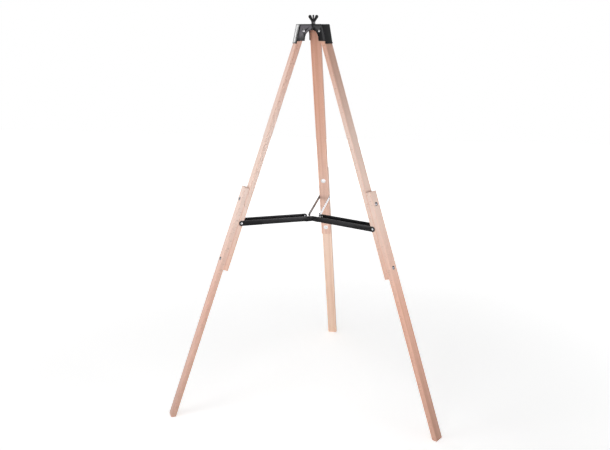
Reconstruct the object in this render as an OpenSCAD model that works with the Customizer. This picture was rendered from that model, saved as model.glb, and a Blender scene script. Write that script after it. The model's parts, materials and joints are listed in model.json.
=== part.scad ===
// Folding tripod easel stand: three lapped wooden legs, a folded steel head and a fold-up spreader.
// The front of the stand faces -Y, the third leg stands at the back, and the feet rest on z = 0.

/* [Stance] */
// Height of the head's top plate above the floor
top_h = 1650; // [1400:10:1800]
// Lean of each leg from the vertical when the stand is open, in degrees
leg_lean = 19.85; // [17:0.05:22]

/* [Legs] */
// Width of a leg board across the stand's radius
leg_w = 45; // [40:0.5:50]
// Thickness of a leg board
leg_t = 21; // [19:0.5:25]
// Radius of the eased long edges of the boards
arris_r = 2; // [1:0.25:3]
// Length of an upper board above its head pivot
upper_above = 16; // [12:0.5:17]
// Length of an upper board below its head pivot
upper_below = 1042; // [1020:1:1100]
// Distance from the head pivot to the top end of the lower board
lap_start = 677; // [640:1:700]
// Distance from an upper board's inner face to its line of pivots
pivot_inset = 8; // [7.5:0.25:9]

/* [Leg bolts] */
// Diameter of the leg bolts
bolt_d = 6; // [5:0.5:8]
// Diameter of the domed bolt heads
bolt_head_d = 16; // [13:0.5:18]
// Height of the domed bolt heads
bolt_head_h = 4; // [3:0.25:5]
// Distance from the lower board's top end to the first bolt
bolt_from_lap = 54; // [40:1:60]
// Distance from the upper board's bottom end to the second bolt
bolt_from_end = 42; // [35:1:60]
// Diameter of the washers under the leg nuts
washer_d = 22; // [18:0.5:25]
// Thickness of the washers under the leg nuts
washer_t = 1.6; // [1:0.1:2]
// Width across flats of the leg nuts and head pivot nuts
nut_af = 10; // [9:0.5:13]
// Height of the leg nuts and head pivot nuts
nut_h = 5; // [4:0.25:6]
// Length of thread that stands past a nut
thread_past = 1; // [0.5:0.25:2]
// Extra diameter of a bolt hole over its bolt
hole_play = 0.4; // [0.3:0.05:0.8]

/* [Head] */
// Sheet thickness of the head
head_sheet = 1.6; // [1.2:0.1:2.5]
// Gap between a leg's side and the head's cheek
cheek_play = 0.4; // [0.3:0.05:0.8]
// Radius of the leg pivots from the stand's axis
pivot_r = 49.5; // [46:0.5:54]
// Depth of the leg pivots below the top plate
pivot_drop = 26.5; // [26:0.5:32]
// Radius of the end plates at the top
head_reach = 66.8; // [64:0.2:72]
// Depth of the cheeks
cheek_h = 65.5; // [60:0.5:70]
// Depth of the end plates, whose lower edges stop the legs
end_plate_h = 75.4; // [72:0.2:85]
// Gap between an open leg and the edge that stops it
stop_gap = 0.2; // [0.1:0.05:0.5]
// Radius of the arched cut between neighbouring legs
arch_r = 34; // [32:0.5:36]
// Radius from the axis to the arch's centre
arch_center_r = 11; // [9:0.5:12]
// Depth of the arch's centre below the top plate
arch_center_drop = 56; // [54:0.5:58]
// Radius of the cheeks' inner edges at the bottom
cheek_inner_r = 47.5; // [46:0.5:49]
// Diameter of the leg pivot bolts
head_bolt_d = 6; // [5:0.5:8]
// Diameter of the leg pivot bolts' domed heads
head_bolt_head_d = 11; // [9:0.5:13]
// Height of the leg pivot bolts' domed heads
head_bolt_head_h = 3; // [2:0.25:4]

/* [Stud and wing nut] */
// Diameter of the stud
stud_d = 8; // [6:0.5:10]
// Height of the stud's tip above the top plate
stud_up = 36; // [35:0.5:40]
// Width across flats of the stud's head and lock nut
stud_af = 15; // [13:0.5:17]
// Height of the stud's head under the plate
stud_head_h = 5.3; // [4:0.1:6]
// Height of the stud's lock nut
lock_nut_h = 6.5; // [5:0.25:7]
// Diameter of the stud's washers
stud_washer_d = 18; // [16:0.5:20]
// Thickness of the stud's washers
stud_washer_t = 1.6; // [1:0.1:2]
// Gap between the wing nut and the washer below it
wing_gap = 0.1; // [0.05:0.05:0.3]
// Diameter of the wing nut's hub
wing_hub_d = 18; // [16:0.5:20]
// Height of the wing nut's hub
wing_hub_h = 10; // [8:0.5:11]
// Span over the wing tips
wing_span = 41; // [38:0.5:46]
// Height of the wing nut over its wings
wing_h = 26; // [24:0.5:28]
// Radius of a wing's round tip
wing_tip_r = 6.5; // [5:0.25:7]
// Thickness of the wings
wing_t = 3.6; // [3:0.1:4.5]
// Gap round the stud inside the nuts and washers
thread_play = 0.1; // [0.05:0.05:0.2]

/* [Spreader] */
// Distance along a leg from its head pivot to its spreader pivot
arm_from_head = 827; // [800:1:860]
// Radius of the hub's pivots from the stand's axis
hub_r = 32; // [30:0.5:36]
// Depth of the hub's pivots below the outer pivots when locked open
hub_drop = 8.5; // [6:0.5:10]
// Height of the arms' flanges and of their round ends
flange_h = 22.5; // [20:0.5:25]
// Sheet thickness of the arms
arm_sheet = 1.5; // [1.2:0.1:2]
// Gap between an arm's flange and the leg's side
arm_play = 0.5; // [0.4:0.05:0.8]
// Length left free of web at an arm's outer end, where it swings past the leg
web_back_leg = 92; // [88:1:110]
// Length left free of web at an arm's hub end
web_back_hub = 20; // [19:0.5:26]
// Sheet thickness of the hub
hub_sheet = 2; // [1.5:0.1:2.5]
// Radius of the hub's ears about its pins, and height of its front wall above them
ear_r = 10; // [9:0.5:11]
// Depth of the hub's underside below its pins
hub_depth = 13.5; // [12:0.5:15]
// Gap between the hub's ears and the flanges outside them
ear_play = 0.3; // [0.2:0.05:0.4]
// Diameter of the hub's pins
pin_d = 6; // [5:0.5:7]
// Extra diameter of the holes that turn on a pin
pin_play = 0.3; // [0.2:0.05:0.5]
// Diameter of the round heads of the pins and screws
pin_head_d = 10; // [8:0.5:11]
// Height of the round heads of the pins and screws
pin_head_h = 2.5; // [2:0.25:3]
// Diameter of the pins' clinched tails inside the hub's ears
pin_tail_d = 8.5; // [8:0.25:10]
// Height of the pins' clinched tails inside the hub's ears
pin_tail_h = 1.8; // [1.2:0.1:2.5]
// Diameter of the screws at the outer pivots
screw_d = 5; // [4:0.5:5.5]
// Gap between a screw's cut end and the leg's side
screw_gap = 0.2; // [0.15:0.05:0.3]
// Width of the flat bars to the rear leg
strut_h = 16; // [12:0.5:18]
// Thickness of the flat bars to the rear leg
strut_t = 2.5; // [2:0.1:3]

/* [Hidden] */
$fn = 48;

// Directions of the legs round the axis: one at the back, and the others a third of a turn to each side
REAR = 360 / 4;
LEFT = REAR + 360 / 3;
RIGHT = REAR - 360 / 3;
DIRECTIONS = [LEFT, RIGHT, REAR];
// A margin by which a cutting shape passes the face that it cuts
over = 1;

// Leg sections, measured outwards from the line of pivots
upper_in = -pivot_inset;
upper_out = leg_t - pivot_inset;
lower_out = 2 * leg_t - pivot_inset;
pivot_z = top_h - pivot_drop;
foot_s = (pivot_z + lower_out * sin(leg_lean)) / cos(leg_lean);
bolt_depths = [lap_start + bolt_from_lap, upper_below - bolt_from_end];

// Place of the stand's axis, so that the floor outline is centred on the origin
foot_r = pivot_r + pivot_z * tan(leg_lean) + lower_out / cos(leg_lean);
corner_r = foot_r - arris_r / cos(leg_lean);
corner_reach = norm([arris_r * cos(60) / cos(leg_lean), arris_r * sin(60)]);
front_reach = corner_r * cos(60) + (leg_w / 2 - arris_r) * sin(60) + corner_reach;
axis_y = (front_reach - foot_r) / 2;

// Head sections
cheek_in = leg_w / 2 + cheek_play;
cheek_out = cheek_in + head_sheet;
plate_foot_r = pivot_r + (end_plate_h - pivot_drop) * tan(leg_lean)
    + upper_out / cos(leg_lean) + stop_gap;
plate_slope = (plate_foot_r + head_sheet - head_reach) / end_plate_h;

// Stud stack, from the top plate upwards
lock_nut_z = top_h + stud_washer_t;
upper_washer_z = lock_nut_z + lock_nut_h;
wing_z = upper_washer_z + stud_washer_t + wing_gap;

// Spreader places
outer_r = pivot_r + arm_from_head * sin(leg_lean);
outer_z = pivot_z - arm_from_head * cos(leg_lean);
hub_z = outer_z - hub_drop;
arm_l = norm([outer_r - hub_r, hub_drop]);
arm_slope = atan2(hub_drop, outer_r - hub_r);
flange_in = leg_w / 2 + arm_play;
flange_out = flange_in + arm_sheet;
strut_out = flange_in + strut_t;
ear_out = flange_in - ear_play;
ear_in = ear_out - hub_sheet;

// Frames: about the axis, along a leg, and along an arm of the spreader
module about_axis(direction) {
    translate([0, axis_y, 0])
        rotate([0, 0, direction])
            children();
}

module along_leg(direction) {
    about_axis(direction)
        translate([pivot_r, 0, pivot_z])
            rotate([0, -leg_lean, 0])
                children();
}

module along_arm(direction) {
    about_axis(direction)
        translate([hub_r, 0, hub_z])
            rotate([0, -arm_slope, 0])
                children();
}

// A cylinder along the tangent, from one offset to another
module cross_cylinder(d, from, to) {
    translate([0, from, 0])
        rotate([-90, 0, 0])
            cylinder(d = d, h = to - from);
}

// A round head with a domed top, standing on z = 0
module domed_head(d, h) {
    ball_r = (d * d / 4 + h * h) / (2 * h);
    intersection() {
        cylinder(d = d, h = h + over);
        translate([0, 0, h - ball_r])
            sphere(r = ball_r, $fn = 96);
    }
}

module hex_prism(af, h) {
    cylinder(d = af / cos(30), h = h, $fn = 6);
}

// Wooden legs

module board_section(near, far) {
    translate([near + arris_r, -leg_w / 2])
        square([far - near - 2 * arris_r, leg_w]);
    translate([near, -leg_w / 2 + arris_r])
        square([far - near, leg_w - 2 * arris_r]);
    for (x = [near + arris_r, far - arris_r])
        for (y = [-1, 1])
            translate([x, y * (leg_w / 2 - arris_r)])
                circle(r = arris_r);
}

module leg_bolt_holes() {
    for (s = bolt_depths)
        translate([upper_in - over, 0, -s])
            rotate([0, 90, 0])
                cylinder(d = bolt_d + hole_play, h = 2 * (leg_t + over));
}

module upper_leg(direction) {
    color("burlywood")
        along_leg(direction)
            difference() {
                translate([0, 0, -upper_below])
                    linear_extrude(upper_below + upper_above)
                        board_section(upper_in, upper_out);
                cross_cylinder(head_bolt_d + hole_play, -leg_w, leg_w);
                translate([0, 0, -arm_from_head])
                    cross_cylinder(screw_d, -leg_w, leg_w);
                leg_bolt_holes();
            }
}

module lower_leg(direction) {
    color("tan")
        difference() {
            along_leg(direction)
                difference() {
                    translate([0, 0, -foot_s - leg_t])
                        linear_extrude(foot_s + leg_t - lap_start)
                            board_section(upper_out, lower_out);
                    leg_bolt_holes();
                }
            about_axis(direction)
                translate([foot_r - 2 * leg_w, -leg_w, -2 * leg_w])
                    cube([4 * leg_w, 2 * leg_w, 2 * leg_w]);
        }
}

module leg_bolts(direction) {
    shank = 2 * leg_t + washer_t + nut_h + thread_past;
    color("silver")
        along_leg(direction)
            for (s = bolt_depths)
                translate([lower_out, 0, -s])
                    rotate([0, 90, 0]) {
                        domed_head(bolt_head_d, bolt_head_h);
                        translate([0, 0, -shank])
                            cylinder(d = bolt_d, h = shank + over);
                    }
}

module leg_washers(direction) {
    color("gainsboro")
        along_leg(direction)
            for (s = bolt_depths)
                translate([upper_in - washer_t, 0, -s])
                    rotate([0, 90, 0])
                        difference() {
                            cylinder(d = washer_d, h = washer_t);
                            translate([0, 0, -over])
                                cylinder(d = bolt_d + hole_play, h = washer_t + 2 * over);
                        }
}

module leg_nuts(direction) {
    color("silver")
        along_leg(direction)
            for (s = bolt_depths)
                translate([upper_in - washer_t - nut_h, 0, -s])
                    rotate([0, 90, 0])
                        difference() {
                            hex_prism(nut_af, nut_h);
                            translate([0, 0, -over])
                                cylinder(d = bolt_d + 2 * thread_play, h = nut_h + 2 * over);
                        }
}

// Head

// Side view of one arm of the head, from the axis to its sloping end plate
module arm_outline(top_cut, end_cut, low) {
    polygon([
        [0, -top_cut],
        [head_reach + plate_slope * top_cut - end_cut, -top_cut],
        [head_reach + plate_slope * low - end_cut, -low],
        [0, -low]
    ]);
}

// The arched cut that parts the cheeks of neighbouring legs
module arch_outline() {
    translate([arch_center_r, -arch_center_drop])
        circle(r = arch_r, $fn = 96);
    polygon([
        [0, -arch_center_drop],
        [arch_center_r + arch_r, -arch_center_drop],
        [cheek_inner_r, -cheek_h],
        [cheek_inner_r, -cheek_h - over],
        [0, -cheek_h - over]
    ]);
}

// The cheeks end higher than the end plate
module below_cheeks_outline() {
    low = end_plate_h + over;
    polygon([
        [0, -cheek_h],
        [head_reach + plate_slope * cheek_h - head_sheet, -cheek_h],
        [head_reach + plate_slope * low - head_sheet, -low],
        [0, -low]
    ]);
}

// An outline of radius and height, given a thickness along the tangent
module radial_slab(from, to) {
    translate([0, to, 0])
        rotate([90, 0, 0])
            linear_extrude(to - from)
                children();
}

module head_bracket() {
    color([0.13, 0.13, 0.14])
        difference() {
            for (direction = DIRECTIONS)
                about_axis(direction)
                    translate([0, 0, top_h])
                        radial_slab(-cheek_out, cheek_out)
                            arm_outline(0, 0, end_plate_h);
            for (direction = DIRECTIONS)
                about_axis(direction)
                    translate([0, 0, top_h]) {
                        radial_slab(-cheek_in, cheek_in)
                            arm_outline(head_sheet, head_sheet, cheek_h);
                        radial_slab(-cheek_out - over, cheek_out + over)
                            arch_outline();
                        radial_slab(-cheek_out - over, cheek_out + over)
                            below_cheeks_outline();
                    }
            for (direction = DIRECTIONS)
                about_axis(direction)
                    translate([pivot_r, 0, pivot_z])
                        cross_cylinder(head_bolt_d + hole_play, -leg_w, leg_w);
            translate([0, axis_y, top_h - head_sheet - over])
                cylinder(d = stud_d + 2 * thread_play, h = head_sheet + 2 * over);
        }
}

// The bolts' heads face the front on the front legs, and the right on the rear leg
module on_bolt_side(direction) {
    if (direction == LEFT)
        children();
    else
        mirror([0, 1, 0])
            children();
}

module head_pivot_bolts() {
    reach = cheek_out + nut_h + thread_past;
    color("silver")
        for (direction = DIRECTIONS)
            about_axis(direction)
                translate([pivot_r, 0, pivot_z])
                    on_bolt_side(direction) {
                        cross_cylinder(head_bolt_d, -reach, cheek_out + over);
                        translate([0, cheek_out, 0])
                            rotate([-90, 0, 0])
                                domed_head(head_bolt_head_d, head_bolt_head_h);
                    }
}

module head_pivot_nuts() {
    color("silver")
        for (direction = DIRECTIONS)
            about_axis(direction)
                translate([pivot_r, 0, pivot_z])
                    on_bolt_side(direction)
                        translate([0, -cheek_out, 0])
                            rotate([90, 0, 0])
                                difference() {
                                    hex_prism(nut_af, nut_h);
                                    translate([0, 0, -over])
                                        cylinder(d = head_bolt_d + 2 * thread_play, h = nut_h + 2 * over);
                                }
}

// Stud stack

module head_stud() {
    color("dimgray")
        translate([0, axis_y, top_h - head_sheet]) {
            cylinder(d = stud_d, h = head_sheet + stud_up);
            translate([0, 0, -stud_head_h])
                hex_prism(stud_af, stud_head_h);
        }
}

module stud_washers() {
    color("dimgray")
        for (z = [top_h, upper_washer_z])
            translate([0, axis_y, z])
                difference() {
                    cylinder(d = stud_washer_d, h = stud_washer_t);
                    translate([0, 0, -over])
                        cylinder(d = stud_d + 2 * thread_play, h = stud_washer_t + 2 * over);
                }
}

module stud_lock_nut() {
    color("dimgray")
        translate([0, axis_y, lock_nut_z])
            difference() {
                hex_prism(stud_af, lock_nut_h);
                translate([0, 0, -over])
                    cylinder(d = stud_d + 2 * thread_play, h = lock_nut_h + 2 * over);
            }
}

// One wing, seen along the front: a tapering ear with a round tip
module wing_outline() {
    tip = [wing_span / 2 - wing_tip_r, wing_h - wing_tip_r];
    root_low = [wing_hub_d / 2 - wing_t / 4, wing_hub_h / 8];
    root_high = [wing_hub_d / 2 - wing_t, wing_hub_h];
    low_edge = tip - root_low;
    low_side = [low_edge[1], -low_edge[0]] * wing_tip_r / norm(low_edge);
    high_edge = tip - root_high;
    high_side = [-high_edge[1], high_edge[0]] * wing_tip_r / norm(high_edge);
    translate(tip)
        circle(r = wing_tip_r);
    polygon([root_low, tip + low_side, tip, tip + high_side, root_high]);
}

module wing_nut() {
    color([0.1, 0.1, 0.1])
        translate([0, axis_y, wing_z])
            difference() {
                union() {
                    cylinder(d = wing_hub_d, h = wing_hub_h);
                    for (turn = [0, 180])
                        rotate([0, 0, turn])
                            radial_slab(-wing_t / 2, wing_t / 2)
                                wing_outline();
                }
                translate([0, 0, -over])
                    cylinder(d = stud_d + 2 * thread_play, h = wing_h + 2 * over);
            }
}

// Spreader

// A flat bar with round ends, from the hub pivot to the outer pivot
module link_outline(height) {
    translate([0, -height / 2])
        square([arm_l, height]);
    for (x = [0, arm_l])
        translate([x, 0])
            circle(d = height);
}

module link_holes() {
    cross_cylinder(pin_d + pin_play, -leg_w, leg_w);
    translate([arm_l, 0, 0])
        cross_cylinder(screw_d + 2 * thread_play, -leg_w, leg_w);
}

module arm(direction) {
    color([0.13, 0.13, 0.14])
        along_arm(direction)
            difference() {
                union() {
                    radial_slab(flange_in, flange_out)
                        link_outline(flange_h);
                    radial_slab(-flange_out, -flange_in)
                        link_outline(flange_h);
                    translate([web_back_hub, -flange_out, -flange_h / 2])
                        cube([arm_l - web_back_hub - web_back_leg, 2 * flange_out, arm_sheet]);
                }
                link_holes();
            }
}

// A flat bar beside the rear leg, on the side where the tangent offset has this sign
module strut(side) {
    color("silver")
        along_arm(REAR)
            difference() {
                radial_slab(min(side * flange_in, side * strut_out), max(side * flange_in, side * strut_out))
                    link_outline(strut_h);
                link_holes();
            }
}

// The two outer pivot screws of one link, cut short at the leg's sides
module outer_screws(direction, face) {
    color("silver")
        along_arm(direction)
            translate([arm_l, 0, 0])
                for (side = [0, 1])
                    mirror([0, side, 0]) {
                        cross_cylinder(screw_d, leg_w / 2 + screw_gap, face + over);
                        translate([0, face, 0])
                            rotate([-90, 0, 0])
                                domed_head(pin_head_d, pin_head_h);
                    }
}

module ear_outline() {
    translate([hub_r, 0])
        circle(r = ear_r);
    translate([hub_r - ear_r, -hub_depth])
        square([2 * ear_r, hub_depth]);
}

// The front wall reaches from the front ears to the fold between the two front arms
module front_wall_outline() {
    translate([ear_in / tan(60), -hub_depth])
        square([hub_r - ear_in / tan(60), hub_depth + ear_r]);
}

module spreader_hub() {
    color([0.11, 0.11, 0.12])
        difference() {
            union() {
                for (direction = DIRECTIONS)
                    about_axis(direction)
                        translate([0, 0, hub_z]) {
                            translate([0, -ear_out, -hub_depth])
                                cube([hub_r + ear_r, 2 * ear_out, hub_sheet]);
                            radial_slab(ear_in, ear_out)
                                ear_outline();
                            radial_slab(-ear_out, -ear_in)
                                ear_outline();
                        }
                about_axis(LEFT)
                    translate([0, 0, hub_z])
                        radial_slab(ear_in, ear_out)
                            front_wall_outline();
                about_axis(RIGHT)
                    translate([0, 0, hub_z])
                        radial_slab(-ear_out, -ear_in)
                            front_wall_outline();
            }
            for (direction = DIRECTIONS)
                about_axis(direction)
                    translate([hub_r, 0, hub_z])
                        cross_cylinder(pin_d + 2 * thread_play, -leg_w, leg_w);
        }
}

// One rivet through each ear and the link outside it, with a round head outside and a clinched tail inside
module hub_pins() {
    color("silver")
        for (direction = DIRECTIONS) {
            face = (direction == REAR ? strut_out : flange_out) + ear_play / 2;
            about_axis(direction)
                translate([hub_r, 0, hub_z])
                    for (side = [0, 1])
                        mirror([0, side, 0]) {
                            cross_cylinder(pin_d, ear_in - pin_tail_h / 2, face + over);
                            translate([0, face, 0])
                                rotate([-90, 0, 0])
                                    domed_head(pin_head_d, pin_head_h);
                            translate([0, ear_in, 0])
                                rotate([90, 0, 0])
                                    domed_head(pin_tail_d, pin_tail_h);
                        }
        }
}

head_bracket();
head_stud();
stud_washers();
stud_lock_nut();
wing_nut();
head_pivot_bolts();
head_pivot_nuts();
upper_leg(LEFT);  // upper_leg_left
lower_leg(LEFT);  // lower_leg_left
leg_bolts(LEFT);  // leg_bolts_left
leg_washers(LEFT);  // leg_washers_left
leg_nuts(LEFT);  // leg_nuts_left
upper_leg(RIGHT);  // upper_leg_right
lower_leg(RIGHT);  // lower_leg_right
leg_bolts(RIGHT);  // leg_bolts_right
leg_washers(RIGHT);  // leg_washers_right
leg_nuts(RIGHT);  // leg_nuts_right
upper_leg(REAR);  // upper_leg_rear
lower_leg(REAR);  // lower_leg_rear
leg_bolts(REAR);  // leg_bolts_rear
leg_washers(REAR);  // leg_washers_rear
leg_nuts(REAR);  // leg_nuts_rear
spreader_hub();
hub_pins();
arm(LEFT);  // arm_left
outer_screws(LEFT, flange_out);  // arm_screws_left
arm(RIGHT);  // arm_right
outer_screws(RIGHT, flange_out);  // arm_screws_right
strut(1);  // strut_rear_left
strut(-1);  // strut_rear_right
outer_screws(REAR, strut_out);  // strut_screws_rear
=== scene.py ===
import json
import math

import bpy
from mathutils import Matrix, Vector


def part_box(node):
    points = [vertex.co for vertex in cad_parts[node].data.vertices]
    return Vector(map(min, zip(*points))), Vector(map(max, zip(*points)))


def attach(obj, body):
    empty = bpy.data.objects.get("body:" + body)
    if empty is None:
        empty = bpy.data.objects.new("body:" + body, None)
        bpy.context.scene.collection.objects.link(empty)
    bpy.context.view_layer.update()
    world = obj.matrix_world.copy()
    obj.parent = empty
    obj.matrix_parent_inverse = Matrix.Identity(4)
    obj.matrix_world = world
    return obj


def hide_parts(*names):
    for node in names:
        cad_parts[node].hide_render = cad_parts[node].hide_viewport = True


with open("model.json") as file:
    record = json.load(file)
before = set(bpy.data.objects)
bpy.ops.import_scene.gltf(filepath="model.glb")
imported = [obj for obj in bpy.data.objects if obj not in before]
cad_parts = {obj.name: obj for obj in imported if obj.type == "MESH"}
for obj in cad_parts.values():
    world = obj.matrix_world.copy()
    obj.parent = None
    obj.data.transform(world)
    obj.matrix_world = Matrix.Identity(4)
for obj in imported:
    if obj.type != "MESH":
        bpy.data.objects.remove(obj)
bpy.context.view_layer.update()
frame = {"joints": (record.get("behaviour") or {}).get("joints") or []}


# Upper boards: the top halves of the three legs, each hung in the head on one bolt.
# Planed beech with its long edges eased round, its ends just broken, and a thin satin varnish.
# A bolt hole crosses each board at the top, two go through its lap, and a screw hole crosses the lap.
SIDES = ("left", "right", "rear")
UP = Vector((0, 0, 1))
joints = {joint["name"]: joint for joint in frame["joints"]}
leg_lean = math.radians(19.85)
board_w = 0.045
board_t = 0.021
arris_r = 0.002
end_break = 0.0008
pivot_inset = 0.008
upper_above = 0.016
upper_below = 1.042
lap_start = 0.677
bolt_from_lap = 0.054
bolt_from_end = 0.042
bolt_depths = (lap_start + bolt_from_lap, upper_below - bolt_from_end)
spreader_depth = 0.827
bolt_hole_r = 0.0032
screw_hole_r = 0.0025
tiny = 1e-5


def leg_place(side):
    """Place of a leg: X out through its boards, Y across them, Z up along them, from the head pivot."""
    joint = joints[side + "_leg_fold"]
    across = Vector(joint["axis"])
    outward = across.cross(UP)
    through = outward * math.cos(leg_lean) + UP * math.sin(leg_lean)
    along = UP * math.cos(leg_lean) - outward * math.sin(leg_lean)
    place = Matrix((through, across, along)).transposed().to_4x4()
    place.translation = joint["pos_m"]
    return place


def fresh(add, **sizes):
    """Add a primitive with nothing else selected."""
    bpy.ops.object.select_all(action="DESELECT")
    add(**sizes)
    return bpy.context.object


def choose(piece):
    """Make a piece the one that operators act on."""
    bpy.ops.object.select_all(action="DESELECT")
    piece.select_set(True)
    bpy.context.view_layer.objects.active = piece


def settle(piece, place):
    """Put a piece in its place, and the place in its mesh."""
    piece.matrix_world = place
    choose(piece)
    bpy.ops.object.transform_apply(location=True, rotation=True, scale=True)
    return piece


def block(low, high):
    low, high = Vector(low), Vector(high)
    piece = fresh(bpy.ops.mesh.primitive_cube_add, size=1)
    return settle(piece, Matrix.LocRotScale((low + high) / 2, None, high - low))


def rod(radius, start, end, sides=32):
    """A straight round rod between two points."""
    start, end = Vector(start), Vector(end)
    length = (end - start).length
    piece = fresh(bpy.ops.mesh.primitive_cylinder_add, vertices=sides, radius=radius, depth=length)
    turn = (end - start).to_track_quat("Z", "Y")
    return settle(piece, Matrix.LocRotScale((start + end) / 2, turn, None))


def select(piece, kind, test):
    """Open a piece for editing, with only the VERT, EDGE or FACE parts selected that pass a test."""
    choose(piece)
    bpy.ops.object.mode_set(mode="EDIT")
    bpy.ops.mesh.select_mode(type=kind)
    bpy.ops.mesh.select_all(action="DESELECT")
    bpy.ops.object.mode_set(mode="OBJECT")
    mesh = piece.data
    if kind == "VERT":
        for vertex in mesh.vertices:
            vertex.select = test(vertex.co)
    elif kind == "EDGE":
        for edge in mesh.edges:
            edge.select = test(*(mesh.vertices[index].co for index in edge.vertices))
    else:
        for face in mesh.polygons:
            face.select = test(face.center, face.normal)
    bpy.ops.object.mode_set(mode="EDIT")


def select_whole(piece):
    choose(piece)
    bpy.ops.object.mode_set(mode="EDIT")
    bpy.ops.mesh.select_mode(type="VERT")
    bpy.ops.mesh.select_all(action="SELECT")


def edited():
    bpy.ops.object.mode_set(mode="OBJECT")


def apply_modifier(piece, kind, **settings):
    modifier = piece.modifiers.new(kind.lower(), kind)
    for name, value in settings.items():
        setattr(modifier, name, value)
    choose(piece)
    bpy.ops.object.modifier_apply(modifier=modifier.name)


def combine(piece, other, operation="DIFFERENCE"):
    """Cut another shape out of a piece, or fuse the two with UNION, or keep their INTERSECT."""
    apply_modifier(piece, "BOOLEAN", object=other, operation=operation, solver="EXACT")
    bpy.data.objects.remove(other)


def smooth(piece, angle=35):
    choose(piece)
    bpy.ops.object.shade_smooth_by_angle(angle=math.radians(angle))


def ease_board(piece):
    """Round a board's long edges, then break the edges of both its ends."""
    select(piece, "EDGE", lambda a, b: (a - b).xy.length < tiny)
    bpy.ops.mesh.bevel(offset=arris_r, segments=5)
    edited()
    select(piece, "FACE", lambda middle, normal: abs(normal.z) > 0.5)
    bpy.ops.mesh.region_to_loop()
    bpy.ops.mesh.bevel(offset=end_break, segments=3)
    edited()


def bore_lap(piece):
    for depth in bolt_depths:
        combine(piece, rod(bolt_hole_r, (-board_w, 0, -depth), (board_w, 0, -depth)))


def add_node(material, kind, inputs=(), **settings):
    """Add a shader node, with each input set to a value or linked from another node."""
    tree = material.node_tree
    node = tree.nodes.new(kind)
    for name, value in settings.items():
        setattr(node, name, value)
    for socket, value in dict(inputs).items():
        if isinstance(value, bpy.types.NodeSocket):
            tree.links.new(value, node.inputs[socket])
        else:
            node.inputs[socket].default_value = value
    return node


def new_material(name, **values):
    """A material whose shader has these plain values, and its shader."""
    material = bpy.data.materials.new(name)
    material.use_nodes = True
    shader = material.node_tree.nodes["Principled BSDF"]
    for socket, value in values.items():
        shader.inputs[socket.replace("_", " ")].default_value = value
    return material, shader


def object_point(material, place=None):
    """The point on the piece, or the same point in the place of a board or a bar."""
    point = add_node(material, "ShaderNodeTexCoord").outputs["Object"]
    if place is None:
        return point
    inputs = {"Vector": point, "Location": place.translation, "Rotation": place.to_euler()}
    return add_node(material, "ShaderNodeMapping", inputs, vector_type="TEXTURE").outputs["Vector"]


def noise(material, point, stretch, shift=(0, 0, 0), detail=3.0):
    """Noise with so many grains to the metre along each axis."""
    inputs = {"Vector": point, "Scale": stretch, "Location": shift}
    point = add_node(material, "ShaderNodeMapping", inputs).outputs["Vector"]
    inputs = {"Vector": point, "Scale": 1.0, "Detail": detail, "Roughness": 0.55}
    return add_node(material, "ShaderNodeTexNoise", inputs).outputs["Fac"]


def spread(material, value, low, high, to_low=0.0, to_high=1.0):
    """Stretch a range of values over another range, and hold it there."""
    inputs = {"Value": value, "From Min": low, "From Max": high, "To Min": to_low, "To Max": to_high}
    return add_node(material, "ShaderNodeMapRange", inputs).outputs["Result"]


def calc(material, operation, first, second=0.0, third=0.0):
    inputs = {0: first, 1: second, 2: third}
    return add_node(material, "ShaderNodeMath", inputs, operation=operation).outputs[0]


def mixed(material, factor, first, second):
    """Blend two colours."""
    inputs = {0: factor, 6: first, 7: second}
    return add_node(material, "ShaderNodeMix", inputs, data_type="RGBA").outputs[2]


def wire(material, shader, **sockets):
    for socket, output in sockets.items():
        material.node_tree.links.new(output, shader.inputs[socket.replace("_", " ")])


def bump(material, height, strength, distance):
    inputs = {"Height": height, "Strength": strength, "Distance": distance}
    return add_node(material, "ShaderNodeBump", inputs).outputs["Normal"]


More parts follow.
